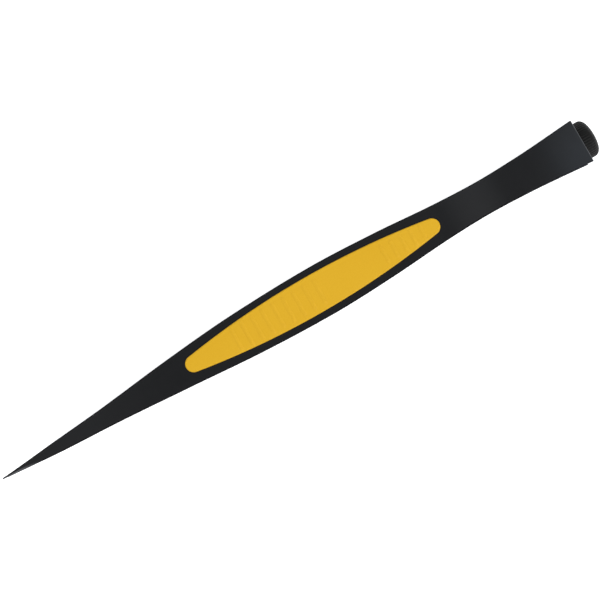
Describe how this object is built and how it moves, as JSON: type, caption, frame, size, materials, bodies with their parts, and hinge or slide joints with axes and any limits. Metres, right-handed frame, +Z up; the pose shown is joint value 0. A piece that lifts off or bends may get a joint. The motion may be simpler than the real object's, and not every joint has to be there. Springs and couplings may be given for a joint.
{
  "type": "lighted tweezers",
  "caption": "Fine-pointed tweezers with lens-shaped grip pads and a small button-cell light held between the arms at the rear.",
  "frame": {"origin": "middle of the tool's length and width, on the plane of the lower grip pad's outer face, which the tool lies on", "axes": "+X from the arms' points to the tail cap, +Y across the arms, +Z up from the lower arm to the upper arm; the light's axis is parallel to X at z = 0.0085"},
  "size_m": [0.166, 0.0126, 0.017],
  "materials": {
    "arm_steel": "satin black coating",
    "grip_rubber": "matte soft-touch yellow",
    "saddle_metal": "black oxide",
    "barrel_aluminium": "black anodised",
    "lamp_clear": "water-clear epoxy",
    "lead_metal": "tinned",
    "holder_plastic": "matte white",
    "board_laminate": "green solder mask",
    "resistor_body": "matte black",
    "cell_steel": "bright nickel-plated",
    "liner_plastic": "thin translucent film",
    "cap_plastic": "matte black, ribbed",
    "ring_rubber": "matte black",
    "contact_brass": "bright",
    "spring_steel": "bright drawn wire"
  },
  "bodies": {
    "light": {"upper_arm_root": "arm_steel", "lower_arm_root": "arm_steel", "upper_saddle": "saddle_metal", "lower_saddle": "saddle_metal", "light_barrel": "barrel_aluminium", "front_bezel": "barrel_aluminium", "lamp": "lamp_clear", "lamp_lead_anode": "lead_metal", "lamp_lead_cathode": "lead_metal", "lamp_holder": "holder_plastic", "contact_board": "board_laminate", "series_resistor": "resistor_body", "button_cell_front": "cell_steel", "button_cell_middle": "cell_steel", "button_cell_rear": "cell_steel", "cell_liner": "liner_plastic"},
    "upper_arm": {"upper_arm_blade": "arm_steel", "upper_grip_pad": "grip_rubber"},
    "lower_arm": {"lower_arm_blade": "arm_steel", "lower_grip_pad": "grip_rubber"},
    "cap_slide": {"tail_spring": "spring_steel"},
    "cap": {"tail_cap": "cap_plastic", "tail_contact": "contact_brass", "tail_o_ring": "ring_rubber"}
  },
  "joints": [
    {"name": "upper_arm_flex", "type": "hinge", "parent": "light", "child": "upper_arm", "pos_m": [0.0465, 0, 0.01572], "axis": [0, -1, 0], "range_deg": [0, 1.74], "stiffness_Nm_per_rad": 6},
    {"name": "lower_arm_flex", "type": "hinge", "parent": "light", "child": "lower_arm", "pos_m": [0.0465, 0, 0.00128], "axis": [0, 1, 0], "range_deg": [0, 1.74], "stiffness_Nm_per_rad": 6},
    {"name": "cap_travel", "type": "slide", "parent": "light", "child": "cap_slide", "axis": [1, 0, 0], "range_m": [0, 0.001]},
    {"name": "cap_twist", "type": "hinge", "parent": "cap_slide", "child": "cap", "pos_m": [0.078, 0, 0.0085], "axis": [1, 0, 0], "range_deg": [0, 720]}
  ],
  "couplings": [
    {"joint": "cap_twist", "follows": "cap_travel", "rad_per_m": 12566}
  ]
}
